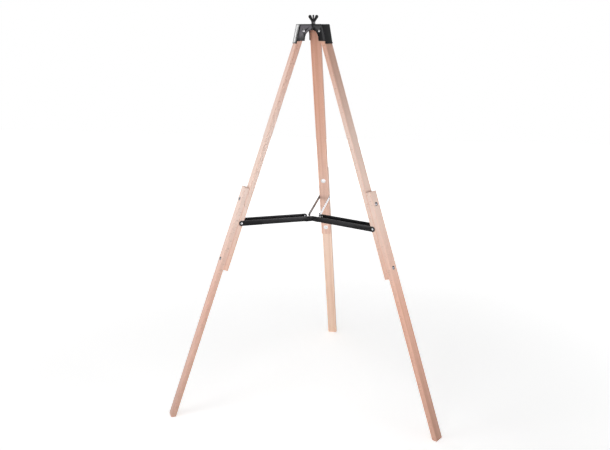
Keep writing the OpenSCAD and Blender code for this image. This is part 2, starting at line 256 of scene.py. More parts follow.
def beech(name, side, board_low, pith, pale, deep):
    """Varnished beech: rings round a far pith, streaks and ray flecks along the board, a painted highlight
    band across it, edges paler from rubbing and a painted highlight.
    """
    ring_gap = 0.0045
    ring_stretch = 0.035
    fibre_grain, streak_grain, fleck_grain = (700, 700, 9), (90, 90, 1.6), (70, 1300, 190)
    streak_part, ring_part, fibre_part = 0.75, 0.22, 0.22
    fleck_shade, fleck_part = 0.6, 0.35
    lit_worn_edge = 0.0035
    lit_worn_shade, lit_worn_part = 1.1, 0.5
    painted_highlight_full, painted_highlight_reach = 0.16, 0.56
    painted_highlight_tone = (0.88, 0.72, 0.64, 1)
    material, shader = new_material(name, IOR=1.47, Specular_IOR_Level=0.3)
    board = object_point(material, leg_place(side))
    split = add_node(material, "ShaderNodeSeparateXYZ", {"Vector": board})

    inputs = {"Vector": board, "Scale": (1, 1, ring_stretch), "Location": pith}
    grown = add_node(material, "ShaderNodeMapping", inputs).outputs["Vector"]
    inputs = {"Vector": grown, "Scale": math.pi / 10 / ring_gap, "Distortion": 5.0, "Detail": 3.0,
              "Detail Scale": 0.5}
    wave = add_node(material, "ShaderNodeTexWave", inputs, wave_type="RINGS", rings_direction="Z")
    fibres = noise(material, board, fibre_grain, pith, detail=4.0)
    streaks = noise(material, board, streak_grain, pith)
    flecks = spread(material, noise(material, board, fleck_grain, pith, detail=1.0), 0.60, 0.70)

    shade = calc(material, "MULTIPLY", streaks, streak_part)
    shade = calc(material, "MULTIPLY_ADD", wave.outputs["Fac"], ring_part, shade)
    shade = calc(material, "MULTIPLY_ADD", fibres, fibre_part, shade)
    wood = mixed(material, spread(material, shade, 0.42, 0.78), pale, deep)
    # Painted highlight: a paler, greyer band across the board around a depth, for the sheen of the lamps on
    # the varnish halfway down the legs.
    from_painted_highlight = calc(material, "ADD", split.outputs["Z"], painted_highlight_depths[side])
    from_painted_highlight = calc(material, "ABSOLUTE", from_painted_highlight)
    painted_highlight_mask = spread(material, from_painted_highlight, painted_highlight_reach, painted_highlight_full, 0.0, painted_highlight_strength[side])
    wood = mixed(material, painted_highlight_mask, wood, painted_highlight_tone)
    fleck = Vector(deep[:3]) * fleck_shade
    wood = mixed(material, calc(material, "MULTIPLY", flecks, fleck_part), wood, (*fleck, 1))

    # Paler along the board's edges: partly rubbed wear, partly a painted highlight on the eased arrises.
    from_middle = calc(material, "SUBTRACT", split.outputs["X"], board_low + board_t / 2)
    near_face = calc(material, "ABSOLUTE", from_middle)
    near_face = spread(material, near_face, board_t / 2 - lit_worn_edge, board_t / 2)
    near_side = calc(material, "ABSOLUTE", split.outputs["Y"])
    near_side = spread(material, near_side, board_w / 2 - lit_worn_edge, board_w / 2)
    edge = calc(material, "MINIMUM", near_face, near_side)
    lit_worn_tone = Vector(pale[:3]) * lit_worn_shade
    wood = mixed(material, calc(material, "MULTIPLY", edge, lit_worn_part), wood, (*lit_worn_tone, 1))

    relief = calc(material, "MULTIPLY_ADD", flecks, -0.4, fibres)
    wire(material, shader, Base_Color=wood, Roughness=spread(material, fibres, 0.3, 0.7, 0.40, 0.54),
         Normal=bump(material, relief, 0.25, 0.0002))
    return material


def join_object(piece, body, slot, *nodes):
    """Give a piece the body that it moves with, and hide the nodes that it stands for. The slot is not used.
    """
    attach(piece, body)
    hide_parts(*nodes)


def finish_piece(piece, material, body, slot, *nodes):
    """Coat a piece with its material, and make it part of the stand."""
    piece.data.materials.clear()
    piece.data.materials.append(material)
    join_object(piece, body, slot, *nodes)


upper_pale = (0.79, 0.47, 0.355, 1)
upper_deep = (0.65, 0.335, 0.235, 1)
# Depth and strength of the painted highlight band on each leg.
painted_highlight_depths = {"left": 0.60, "right": 0.60, "rear": 0.90}
painted_highlight_strength = {"left": 0.76, "right": 0.72, "rear": 0.35}
upper_pith = {"left": (0.11, 0.020, 0.3), "right": (0.13, -0.016, 1.9), "rear": (0.12, 0.024, 3.1)}
for side in SIDES:
    low = (-pivot_inset, -board_w / 2, -upper_below)
    high = (board_t - pivot_inset, board_w / 2, upper_above)
    upper_board = block(low, high)
    upper_board.name = "upper_board_" + side
    ease_board(upper_board)
    combine(upper_board, rod(bolt_hole_r, (0, -board_w, 0), (0, board_w, 0)))
    combine(upper_board, rod(screw_hole_r, (0, -board_w, -spreader_depth), (0, board_w, -spreader_depth)))
    bore_lap(upper_board)
    smooth(upper_board)
    settle(upper_board, leg_place(side))
    wood = beech("beech_upper_" + side, side, low[0], upper_pith[side], upper_pale, upper_deep)
    finish_piece(upper_board, wood, side + "_leg", "beech_upper", "upper_leg_" + side)


# Lower boards: the bottom halves of the legs, lapped on the outer faces of the upper boards.
# The same planed beech, paler in the rear leg, with each foot sawn level so that it stands flat on the floor.
# Two bolts through the lap hold each one to its upper board.
lower_pale = {"left": (0.75, 0.485, 0.39, 1), "right": (0.78, 0.475, 0.365, 1),
              "rear": (0.88, 0.64, 0.505, 1)}
lower_deep = {"left": (0.635, 0.365, 0.28, 1), "right": (0.64, 0.345, 0.25, 1),
              "rear": (0.78, 0.525, 0.395, 1)}
lower_pith = {"left": (0.14, -0.018, 5.2), "right": (0.12, 0.022, 6.4), "rear": (0.13, -0.02, 7.7)}
lap_in = board_t - pivot_inset
lap_out = lap_in + board_t
for side in SIDES:
    place = leg_place(side)
    floor_up = place.inverted().to_3x3() @ UP
    floor_point = place.inverted() @ Vector((place.translation.x, place.translation.y, 0))
    below_floor = -place.translation.z / math.cos(leg_lean) - board_w
    lower_board = block((lap_in, -board_w / 2, below_floor), (lap_out, board_w / 2, -lap_start))
    lower_board.name = "lower_board_" + side
    select_whole(lower_board)
    bpy.ops.mesh.bisect(plane_co=floor_point, plane_no=floor_up, use_fill=True, clear_inner=True)
    edited()
    ease_board(lower_board)
    bore_lap(lower_board)
    smooth(lower_board)
    settle(lower_board, place)
    wood = beech("beech_lower_" + side, side, lap_in, lower_pith[side], lower_pale[side], lower_deep[side])
    finish_piece(lower_board, wood, side + "_leg", "beech_lower", "lower_leg_" + side)


# Lap bolts: two through each leg, with smooth domed heads on the outer face.
# Cold-headed steel with rolled threads, zinc plated, with polished heads whose dark plating is painted shade.
# A washer and a nut on the inner face of the upper board draw the two boards together.
bolt_r = 0.003
bolt_pitch = 0.001
lap_head_r = 0.008
lap_head_h = 0.004
lap_washer_t = 0.0016
nut_h = 0.005
thread_past = 0.001
thread_depth = 0.61
neck_share = 0.9
tip_share = 0.95
turned_over = Matrix.Rotation(math.pi, 4, "X")
facing_out = Matrix.Rotation(math.pi / 2, 4, "Y")


def draw(name, outline):
    """Draw an outline of (radius, height) points as a line of edges in the XZ plane."""
    piece = fresh(bpy.ops.mesh.primitive_plane_add, size=tiny)
    piece.name = name
    select_whole(piece)
    bpy.ops.mesh.merge(type="CENTER")
    bpy.ops.transform.translate(value=(outline[0][0], 0, outline[0][1]))
    for (radius, height), (next_radius, next_height) in zip(outline, outline[1:]):
        step = (next_radius - radius, 0, next_height - height)
        bpy.ops.mesh.extrude_vertices_move(TRANSFORM_OT_translate={"value": step})
    edited()
    return piece


def close_up(piece):
    """Merge doubled points and turn the faces outwards."""
    select_whole(piece)
    bpy.ops.mesh.remove_doubles(threshold=tiny / 10)
    bpy.ops.mesh.normals_make_consistent(inside=False)
    edited()


def lathe(name, outline, steps=48):
    """Turn an outline of (radius, height) points round the Z axis."""
    piece = draw(name, outline)
    select_whole(piece)
    bpy.ops.mesh.spin(steps=steps, angle=2 * math.pi, center=(0, 0, 0), axis=(0, 0, 1))
    edited()
    close_up(piece)
    return piece


def thread_core(radius, pitch):
    """Radius at the root of a thread."""
    return radius - thread_depth * pitch


def threaded_rod(name, radius, pitch, low, high, turn_steps=24):
    """A rod along Z with a real thread, and a chamfered tip at the top."""
    core = thread_core(radius, pitch)
    start = low - pitch
    ridge = [(core, 0), (core, 0.13), (radius, 0.42), (radius, 0.58), (core, 0.87), (core, 1)]
    piece = draw(name, [(r, start + share * pitch) for r, share in ridge])
    turns = math.ceil((high - start) / pitch) + 1
    apply_modifier(piece, "SCREW", screw_offset=pitch, iterations=turns, steps=turn_steps,
                   render_steps=turn_steps)
    close_up(piece)
    select_whole(piece)
    cut = {"plane_no": UP, "use_fill": True, "threshold": tiny / 100}
    bpy.ops.mesh.bisect(plane_co=(0, 0, high + pitch / 2), clear_outer=True, **cut)
    bpy.ops.mesh.select_all(action="SELECT")
    bpy.ops.mesh.bisect(plane_co=(0, 0, low), clear_inner=True, **cut)
    edited()
    close_up(piece)
    wide, tip_r = radius + pitch, core * tip_share
    tip_foot = high - (wide - tip_r)
    tip = [(0, start), (wide, start), (wide, tip_foot), (tip_r, high), (0, high)]
    combine(piece, lathe("tip", tip), "INTERSECT")
    close_up(piece)
    return piece


def dome(radius, height, rim=0.0004, steps=10):
    """Outline of a domed head: a short rim, then an arc up to the middle."""
    rise = height - rim
    ball = (radius ** 2 + rise ** 2) / (2 * rise)
    widest = math.asin(radius / ball)
    angles = [widest * (1 - step / steps) for step in range(steps + 1)]
    arc = [(ball * math.sin(angle), height - ball + ball * math.cos(angle)) for angle in angles]
    return [(radius, 0)] + arc


def domed_bolt(name, head_r, head_h, thread_start, end):
    """A domed bolt: its head stands up from zero, its shank hangs down and ends in a thread."""
    neck_r = thread_core(bolt_r, bolt_pitch) * neck_share
    neck_low, neck_high = -thread_start - bolt_pitch, -thread_start + bolt_pitch / 4
    shank = [(0, neck_low), (neck_r, neck_low), (neck_r, neck_high),
             (bolt_r, -thread_start + bolt_pitch / 2), (bolt_r, 0)]
    piece = lathe(name, shank + dome(head_r, head_h))
    thread = settle(threaded_rod("thread", bolt_r, bolt_pitch, thread_start, end), turned_over)
    combine(piece, thread, "UNION")
    close_up(piece)
    smooth(piece, 40)
    return piece


def joined(pieces, name):
    """Join several meshes in one piece."""
    choose(pieces[0])
    for piece in pieces:
        piece.select_set(True)
    if len(pieces) > 1:
        bpy.ops.object.join()
    pieces[0].name = name
    return pieces[0]


def copies(model, places, name):
    """Copies of a model, each with its own mesh, at several places, as one piece."""
    made = []
    for place in places:
        copy = bpy.data.objects.new(name, model.data.copy())
        bpy.context.scene.collection.objects.link(copy)
        made.append(settle(copy, place))
    return joined(made, name)


def plating(name, dull, bright, rough, painted_shade_share=0.55, grain=(900, 900, 900), place=None, glance_shade=1.0):
    """Plated steel: clouded between two tones, with fine marks, and darkened with painted shade where it
    meets its neighbours.
    """
    cloud_grain = (240, 240, 240)
    painted_shade_reach = 0.003
    painted_shade_tone = (0.10, 0.095, 0.09, 1)
    rougher = rough + 0.14
    # A glance below one dims the metal's glancing reflection, as painted shade.
    material, shader = new_material(name, Metallic=1.0, Specular_Tint=(glance_shade, glance_shade, glance_shade, 1))
    point = object_point(material, place)
    clouds = noise(material, point, cloud_grain)
    marks = noise(material, point, grain)
    tone = spread(material, calc(material, "MULTIPLY", clouds, marks), 0.12, 0.42)
    metal = mixed(material, tone, dull, bright)
    # Painted shade: the metal is darkened wherever its neighbours come close, as if shade fell there.
    nearby = add_node(material, "ShaderNodeAmbientOcclusion", {"Distance": painted_shade_reach}, samples=4)
    painted_shade_mask = spread(material, nearby.outputs["AO"], 0.35, 0.95, painted_shade_share, 0.0)
    metal = mixed(material, painted_shade_mask, metal, painted_shade_tone)
    wire(material, shader, Base_Color=metal, Roughness=spread(material, marks, 0.3, 0.7, rough, rougher),
         Normal=bump(material, marks, 0.08, 0.0001))
    return material


def two_finishes(piece, below, above, height):
    """Coat a turned piece with one finish, and with another from a height upwards."""
    piece.data.materials.append(below)
    piece.data.materials.append(above)
    piece.active_material_index = 1
    select(piece, "FACE", lambda middle, normal: middle.z > height - tiny)
    bpy.ops.object.material_slot_assign()
    edited()


def on_laps(model, x, facing, name, node):
    """Put a bolt, washer or nut at both holes of each lap, at a distance through the leg."""
    for side in SIDES:
        places = [leg_place(side) @ Matrix.Translation((x, 0, -depth)) @ facing for depth in bolt_depths]
        pair = copies(model, places, name + "_" + side)
        join_object(pair, side + "_leg", "zinc_hardware", node + "_" + side)


# Painted shade: the heads' plating is dark for the dark reflections that polished domes show.
shaded_head_plating = plating("shaded_dark_heads", dull=(0.10, 0.103, 0.11, 1), bright=(0.19, 0.193, 0.205, 1), rough=0.10)
# The bright fasteners carry less painted shade where they meet their neighbours.
zinc_plating = plating("zinc_fasteners", dull=(0.76, 0.765, 0.78, 1), bright=(0.92, 0.92, 0.93, 1),
                       rough=0.24, painted_shade_share=0.35)
lap_bolt = domed_bolt("lap_bolt", lap_head_r, lap_head_h, 2 * board_t - nut_h,
                      2 * board_t + lap_washer_t + nut_h + thread_past)
two_finishes(lap_bolt, zinc_plating, shaded_head_plating, 0)
on_laps(lap_bolt, lap_out, facing_out, "lap_bolts", "leg_bolts")
bpy.data.objects.remove(lap_bolt)


# Lap washers: a flat ring under each lap nut, so that the nut doesn't bite into the beech.
# Punched steel with one edge rolled over by the punch, bright zinc plated.
# They lie on the inner faces of the upper boards.
lap_washer_r = 0.011


def washer(name, hole_r, outer_r, thickness):
    edge = thickness / 5
    outline = [(hole_r, 0), (outer_r - edge / 2, 0), (outer_r, edge / 2), (outer_r, thickness - edge),
               (outer_r - edge, thickness), (hole_r + edge / 2, thickness), (hole_r, thickness - edge / 2),
               (hole_r, 0)]
    piece = lathe(name, outline)
    smooth(piece)
    return piece


lap_washer = washer("lap_washer", bolt_hole_r, lap_washer_r, lap_washer_t)
lap_washer.data.materials.append(zinc_plating)
facing_in = Matrix.Rotation(-math.pi / 2, 4, "Y")
on_laps(lap_washer, -pivot_inset, facing_in, "lap_washers", "leg_washers")
bpy.data.objects.remove(lap_washer)


# Lap nuts: a hex nut on each lap bolt, on its washer at the inner face of the leg.
# Cold-formed steel with chamfered corners and a countersunk thread, bright zinc plated.
# The bolt's thread stands just past it.
nut_flats = 0.010
nut_face_share = 0.97
sink_share = 0.12


def hexagon(name, flats, height, bore=None):
    """A hexagon that stands on zero with its corners chamfered, and a countersunk bore if it has one."""
    corner = flats / 2 / math.cos(math.pi / 6)
    face, wide = flats / 2 * nut_face_share, corner + tiny
    chamfer = (wide - face) * math.tan(math.pi / 6)
    piece = fresh(bpy.ops.mesh.primitive_cylinder_add, vertices=6, radius=corner, depth=height)
    piece.name = name
    settle(piece, Matrix.Translation((0, 0, height / 2)))
    inner, low, high = 2 * face - wide, -chamfer, height + chamfer
    lens = [(0, low), (inner, low), (wide, chamfer), (wide, height - chamfer), (inner, high), (0, high)]
    combine(piece, lathe("chamfers", lens, steps=96), "INTERSECT")
    if bore:
        sink = bore * sink_share
        hole = [(0, -sink), (bore + 2 * sink, -sink), (bore, sink), (bore, height - sink),
                (bore + 2 * sink, height + sink), (0, height + sink)]
        combine(piece, lathe("bore", hole))
    close_up(piece)
    smooth(piece, 25)
    return piece


small_nut = hexagon("small_nut", nut_flats, nut_h, bolt_r)
small_nut.data.materials.append(zinc_plating)
on_laps(small_nut, -pivot_inset - lap_washer_t, facing_in, "lap_nuts", "leg_nuts")


# Head bracket: the Y-shaped top of the stand, with cheeks beside each leg and end plates that stop it.
# One sheet of steel, pressed with round folds and arched between the legs, painted semi-gloss black.
# The stud stands in its middle, and each leg hangs between two cheeks on a bolt.
head_centre = Vector(joints["wing_nut_turn"]["pos_m"])
head_sheet = 0.0016
head_bend_r = 0.0036
head_half_w = 0.0245
head_reach = 0.0668
cheek_drop = 0.0655
end_plate_drop = 0.0754
end_plate_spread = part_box("head_bracket")[1].y - head_centre.y - head_reach
arch_r = 0.034
arch_x = 0.011
arch_drop = 0.056
arch_foot_x = 0.0475
sheared_rim = 0.0003
stud_hole_r = 0.0041
pivot_from_head = Vector(joints["rear_leg_fold"]["pos_m"]) - head_centre
pivot_out, pivot_down = pivot_from_head.y, pivot_from_head.z


def leg_turn(side):
    """Turn round the stand's axis from X to a leg's direction."""
    outward = Vector(joints[side + "_leg_fold"]["axis"]).cross(UP)
    return Matrix.Rotation(math.atan2(outward.y, outward.x), 4, "Z")


def sheet_plane(low_x, high_x, half_w, height):
    """A flat rectangle of sheet, level, across the X axis."""
    piece = fresh(bpy.ops.mesh.primitive_plane_add, size=1)
    middle = ((low_x + high_x) / 2, 0, height)
    return settle(piece, Matrix.LocRotScale(middle, None, (high_x - low_x, 2 * half_w, 1)))


def three_ways(arm, name):
    """Mitre an arm a sixth of a turn to each side, and join three of it round the axis."""
    for side in (1, -1):
        select_whole(arm)
        away = Vector((-math.sin(math.pi / 3), side * math.cos(math.pi / 3), 0))
        bpy.ops.mesh.bisect(plane_co=(0, 0, 0), plane_no=away, clear_outer=True)
        edited()
    whole = copies(arm, [leg_turn(side) for side in SIDES], name)
    bpy.data.objects.remove(arm)
    close_up(whole)
    return whole


def fold_sheet(piece, bend_r, thickness, segments=6):
    """Round the folds of a sheet, and give it its thickness on the inside."""
    select_whole(piece)
    bpy.ops.mesh.select_mode(type="EDGE")
    bpy.ops.mesh.select_all(action="DESELECT")
    bpy.ops.mesh.edges_select_sharp(sharpness=math.radians(30))
    bpy.ops.mesh.bevel(offset=bend_r, segments=segments)
    edited()
    close_up(piece)
    faces = piece.data.polygons
    middle = sum((face.center * face.area for face in faces), Vector()) / sum(face.area for face in faces)
    if sum(face.area * face.normal.dot(face.center - middle) for face in faces) < 0:
        select_whole(piece)
        bpy.ops.mesh.flip_normals()
        edited()
    apply_modifier(piece, "SOLIDIFY", thickness=thickness, offset=-1, use_even_offset=True)


def break_rims(piece, width):
    """Break the sharp rims that shearing leaves."""
    sharp = math.radians(50)
    apply_modifier(piece, "BEVEL", width=width, segments=2, limit_method="ANGLE", angle_limit=sharp)
    smooth(piece)


def black_paint(name, rough_low, rough_high, rim_wear_and_sheen_share, rim_w=0.0015):
    """Semi-gloss black enamel: orange peel, clouded gloss, paler on the rims and folds, partly worn thin and
    partly a painted highlight, a little dust.
    """
    enamel = (0.006, 0.006, 0.007, 1)
    thin_enamel_and_sheen = (0.20, 0.19, 0.20, 1)
    dust_tone, dust_part = (0.30, 0.29, 0.28, 1), 0.04
    peel_grain, cloud_grain, dust_grain = (800, 800, 800), (40, 40, 40), (2400, 2400, 2400)
    material, shader = new_material(name, IOR=1.5, Specular_IOR_Level=0.14)
    point = object_point(material)
    peel = noise(material, point, peel_grain, detail=1.0)
    clouds = noise(material, point, cloud_grain)
    dust = spread(material, noise(material, point, dust_grain, detail=2.0), 0.66, 0.74)
    # Paler rims and folds: partly enamel worn thin, partly a painted highlight.
    rounded = add_node(material, "ShaderNodeBevel", {"Radius": rim_w}, samples=4).outputs["Normal"]
    facing = add_node(material, "ShaderNodeNewGeometry").outputs["Normal"]
    inputs = {0: rounded, 1: facing}
    agree = add_node(material, "ShaderNodeVectorMath", inputs, operation="DOT_PRODUCT").outputs["Value"]
    rim = spread(material, agree, 0.985, 0.86)
    rim_wear_and_sheen = calc(material, "MULTIPLY", rim, rim_wear_and_sheen_share)
    paint = mixed(material, rim_wear_and_sheen, enamel, thin_enamel_and_sheen)
    paint = mixed(material, calc(material, "MULTIPLY", dust, dust_part), paint, dust_tone)
    wire(material, shader, Base_Color=paint,
         Roughness=spread(material, clouds, 0.3, 0.7, rough_low, rough_high),
         Normal=bump(material, peel, 0.03, 0.0001))
    return material


end_slope = end_plate_spread / end_plate_drop
head_arm = sheet_plane(0, head_reach, head_half_w, 0)
select(head_arm, "EDGE", lambda a, b: max(a.x, b.x) > tiny)
bpy.ops.mesh.extrude_region_move(TRANSFORM_OT_translate={"value": (0, 0, -cheek_drop)})
edited()
select(head_arm, "VERT", lambda point: point.x > tiny and point.z < -tiny)
bpy.ops.transform.translate(value=(end_slope * cheek_drop, 0, 0))
edited()
select(head_arm, "EDGE", lambda a, b: min(a.x, b.x) > tiny and max(a.z, b.z) < -tiny)
lip = end_plate_drop - cheek_drop
bpy.ops.mesh.extrude_region_move(TRANSFORM_OT_translate={"value": (end_slope * lip, 0, -lip)})
edited()
head_pressing = three_ways(head_arm, "head_pressing")
select_whole(head_pressing)
bpy.ops.mesh.dissolve_limited(angle_limit=math.radians(1))
edited()
fold_sheet(head_pressing, head_bend_r, head_sheet)
for side in SIDES:
    past = head_half_w + head_sheet
    arch = rod(arch_r, (arch_x, -past, -arch_drop), (arch_x, past, -arch_drop), sides=64)
    select(arch, "VERT", lambda point: point.z < -arch_drop - tiny)
    flare = (arch_foot_x - arch_x) / arch_r
    foot = (arch_x, 0, -cheek_drop - head_sheet)
    bpy.ops.transform.resize(value=(flare, 1, 0), center_override=foot)
    edited()
    combine(head_pressing, settle(arch, leg_turn(side)))
    hole = rod(bolt_hole_r, (pivot_out, -past, pivot_down), (pivot_out, past, pivot_down))
    combine(head_pressing, settle(hole, leg_turn(side)))
combine(head_pressing, rod(stud_hole_r, -UP * head_bend_r, UP * head_bend_r))
break_rims(head_pressing, sheared_rim)
settle(head_pressing, Matrix.Translation(head_centre))
head_paint = black_paint("black_enamel", rough_low=0.14, rough_high=0.22, rim_wear_and_sheen_share=0.08)
finish_piece(head_pressing, head_paint, "head", "black_paint", "head_bracket")


# Head pivot bolts: one through the cheeks and the top of each leg, on which the leg turns.
# Domed steel bolts, plated and brighter than those of the laps, with a nut on the far cheek.
# Their heads are to the front, and to the right on the rear leg.
pivot_head_r = 0.0055
pivot_head_h = 0.003


def pivot_place(side):
    """Place of a head pivot with Z along its bolt, towards the head of the bolt."""
    towards = -math.pi / 2 if side == "left" else math.pi / 2
    place = leg_turn(side) @ Matrix.Rotation(towards, 4, "X")
    return Matrix.Translation(joints[side + "_leg_fold"]["pos_m"]) @ place


pivot_plating = plating("bright_bolts", dull=(0.26, 0.263, 0.27, 1), bright=(0.38, 0.383, 0.39, 1),
                        rough=0.12)
pivot_bolt = domed_bolt("pivot_bolt", pivot_head_r, pivot_head_h, 2 * head_half_w - nut_h,
                        2 * head_half_w + nut_h + thread_past)
on_cheek = Matrix.Translation((0, 0, head_half_w))
pivot_bolts = copies(pivot_bolt, [pivot_place(side) @ on_cheek for side in SIDES], "pivot_bolts")
finish_piece(pivot_bolts, pivot_plating, "head", "zinc_hardware", "head_pivot_bolts")
bpy.data.objects.remove(pivot_bolt)


# Head pivot nuts: one on each head pivot bolt, on the far cheek.
# The same zinc plated hex nuts as on the laps.
# They are done up just so far that the leg still turns.
places = [pivot_place(side) @ turned_over @ on_cheek for side in SIDES]
pivot_nuts = copies(small_nut, places, "pivot_nuts")
finish_piece(pivot_nuts, zinc_plating, "head", "zinc_hardware", "head_pivot_nuts")
bpy.data.objects.remove(small_nut)


# Stud: the bolt that stands up through the middle of the head, where a board or an instrument is fixed.
# Steel with a rolled thread, chemically blackened, with its hex head under the top plate.
# The lock nut above the plate holds it upright.
stud_r = 0.004
stud_pitch = 0.00125
stud_up = 0.036
stud_flats = 0.015
stud_head_h = 0.0053


def blackened(name):
    """Oiled black oxide on steel: dark, clouded with brown, and duller where it is brown."""
    black, brown = (0.012, 0.012, 0.013, 1), (0.030, 0.027, 0.025, 1)
    cloud_grain = (300, 300, 300)
    material, shader = new_material(name, Metallic=0.35, IOR=1.6)
    clouds = noise(material, object_point(material), cloud_grain)
    oxide = mixed(material, spread(material, clouds, 0.3, 0.7), black, brown)
    wire(material, shader, Base_Color=oxide, Roughness=spread(material, clouds, 0.3, 0.7, 0.34, 0.50),
         Normal=bump(material, clouds, 0.05, 0.0001))
    return material


stud = threaded_rod("threaded_stud", stud_r, stud_pitch, -head_sheet - stud_head_h / 2, stud_up)
stud_head = hexagon("stud_head", stud_flats, stud_head_h)
combine(stud, settle(stud_head, Matrix.Translation((0, 0, -head_sheet - stud_head_h))), "UNION")
smooth(stud, 25)
settle(stud, Matrix.Translation(head_centre))
black_oxide = blackened("black_oxide")
finish_piece(stud, black_oxide, "head", "black_steel", "head_stud")


# Stud washers: one on the top plate under the lock nut, one on the lock nut under the wing nut.
# Punched steel rings, blackened like the stud.
# The upper one is what the wing nut clamps against.
stud_washer_r = 0.009
stud_washer_t = 0.0016
lock_nut_h = 0.0065
upper_washer = stud_washer_t + lock_nut_h
stud_washer = washer("stud_washer", stud_hole_r, stud_washer_r, stud_washer_t)
places = [Matrix.Translation(head_centre + UP * height) for height in (0, upper_washer)]
stud_washers = copies(stud_washer, places, "plain_washers")
finish_piece(stud_washers, black_oxide, "head", "black_steel", "stud_washers")
bpy.data.objects.remove(stud_washer)


# Lock nut: the hex nut that clamps the stud to the head, between the two washers.
# Cold-formed steel, blackened.
# It stays done up when the wing nut comes off.
lock_nut = hexagon("hex_lock_nut", stud_flats, lock_nut_h, stud_hole_r)
settle(lock_nut, Matrix.Translation(head_centre + UP * stud_washer_t))
finish_piece(lock_nut, black_oxide, "head", "black_steel", "stud_lock_nut")


# Wing nut: turned by hand on the stud to clamp what stands on the head.
# A casting with a tapered hub and two paddle-shaped wings, all edges soft, painted black.
# It turns just above the upper washer.
wing_gap = 0.0001
wing_hub_r = 0.009
wing_hub_top_r = 0.00792
wing_hub_h = 0.010
wing_rim_h = 0.0012
wing_root_x = 0.0062
wing_root_z = 0.0045
wing_span = 0.041
wing_h = 0.026
wing_tip_r = 0.0068
wing_t = 0.0036
cast_grain = 0.00032
wing_tip = Vector((wing_span / 2 - wing_tip_r, 0, wing_h - wing_tip_r))
wing_root = Vector((wing_root_x, 0, wing_root_z))
root_share = 0.6
root_thick = 1.5
hub_outline = [(0, 0), (wing_hub_r, 0), (wing_hub_r, wing_rim_h), (wing_hub_top_r, wing_hub_h),
               (0, wing_hub_h)]
wing_casting = lathe("cast_wing_nut", hub_outline)
for turn in (0, math.pi):
    across = Vector((0, wing_t / 2, 0))
    wing = rod(wing_tip_r, wing_tip - across, wing_tip + across, sides=48)
    to_root = (wing_root - wing_tip).normalized()
    select(wing, "VERT", lambda point: (point - wing_tip).dot(to_root) > -tiny)
    bpy.ops.transform.resize(value=(root_share, root_thick, root_share), center_override=wing_tip)
    bpy.ops.transform.translate(value=wing_root - wing_tip)
    edited()
    combine(wing_casting, settle(wing, Matrix.Rotation(turn, 4, "Z")), "UNION")
apply_modifier(wing_casting, "REMESH", mode="VOXEL", voxel_size=cast_grain)
apply_modifier(wing_casting, "SMOOTH", factor=0.5, iterations=8)
combine(wing_casting, rod(stud_hole_r, -UP * wing_h, UP * wing_h))
smooth(wing_casting, 45)
settle(wing_casting, Matrix.Translation(head_centre + UP * (upper_washer + stud_washer_t + wing_gap)))
nut_paint = black_paint("black_casting", rough_low=0.30, rough_high=0.45, rim_wear_and_sheen_share=0.10)
finish_piece(wing_casting, nut_paint, "wing_nut", "black_nut", "wing_nut")


# Spreader hub: the Y-shaped plate in the middle, with upright ears that hold the three links on their pins.
# Sheet steel, folded, with a V-shaped wall along the front between the two arms, painted black.
# It hangs on the links just below the line of the outer pivots, which locks the stand open.
hub_sheet = 0.002
hub_bend_r = 0.003
ear_out = 0.0227
ear_r = 0.010
hub_depth = 0.0135
ear_round = 0.98
wall_facing = 0.7
free_facing = 0.6
pin_hole_r = 0.0031
hub_centre = Vector((head_centre.x, head_centre.y, joints["rear_strut_fold"]["pos_m"][2]))
hub_pin_r = joints["rear_strut_fold"]["pos_m"][1] - head_centre.y
ear_start, ear_end = hub_pin_r - ear_r, hub_pin_r + ear_r
front = Vector((0, -1, 0))


def on_side(side, point):
    """A point seen along one arm, with X outwards."""
    return leg_turn(side).inverted() @ point


def on_ear_line(a, b):
    middle = (a + b) / 2
    seen = [on_side(side, middle) for side in SIDES]
    return any(abs(abs(point.y) - ear_out) < tiny and point.x > ear_start for point in seen)


def on_front_wall(a, b):
    middle = (a + b) / 2
    seen = [on_side(side, middle) for side in ("left", "right")]
    beside = any(abs(abs(point.y) - ear_out) < tiny and point.x < ear_start for point in seen)
    return beside and middle.normalized().dot(front) > wall_facing


def is_free_corner(point):
    """The upper corners of the ears, apart from those that run on into the front wall."""
    if point.z < ear_r - tiny:
        return False
    seen = [on_side(side, point) for side in SIDES]
    at_end = any(abs(view.x - ear_end) < tiny and abs(abs(view.y) - ear_out) < tiny for view in seen)
    at_start = any(abs(view.x - ear_start) < tiny and abs(abs(view.y) - ear_out) < tiny for view in seen)
    outward = Vector((point.x, point.y, 0)).normalized()
    return at_end or (at_start and outward.dot(front) < free_facing)


hub_arm = sheet_plane(0, ear_end, ear_out, -hub_depth)
select_whole(hub_arm)
bpy.ops.mesh.bisect(plane_co=(ear_start, 0, 0), plane_no=(1, 0, 0))
edited()
hub_pressing = three_ways(hub_arm, "hub_pressing")
select(hub_pressing, "EDGE", lambda a, b: on_ear_line(a, b) or on_front_wall(a, b))
bpy.ops.mesh.extrude_region_move(TRANSFORM_OT_translate={"value": (0, 0, hub_depth + ear_r)})
edited()
select(hub_pressing, "VERT", is_free_corner)
bpy.ops.mesh.bevel(offset=ear_r * ear_round, segments=10, affect="VERTICES")
edited()
fold_sheet(hub_pressing, hub_bend_r, hub_sheet)
for side in SIDES:
    past = ear_out + hub_sheet
    hole = rod(pin_hole_r, (hub_pin_r, -past, 0), (hub_pin_r, past, 0))
    combine(hub_pressing, settle(hole, leg_turn(side)))
break_rims(hub_pressing, sheared_rim)
settle(hub_pressing, Matrix.Translation(hub_centre))
finish_piece(hub_pressing, head_paint, "hub", "black_paint", "spreader_hub")


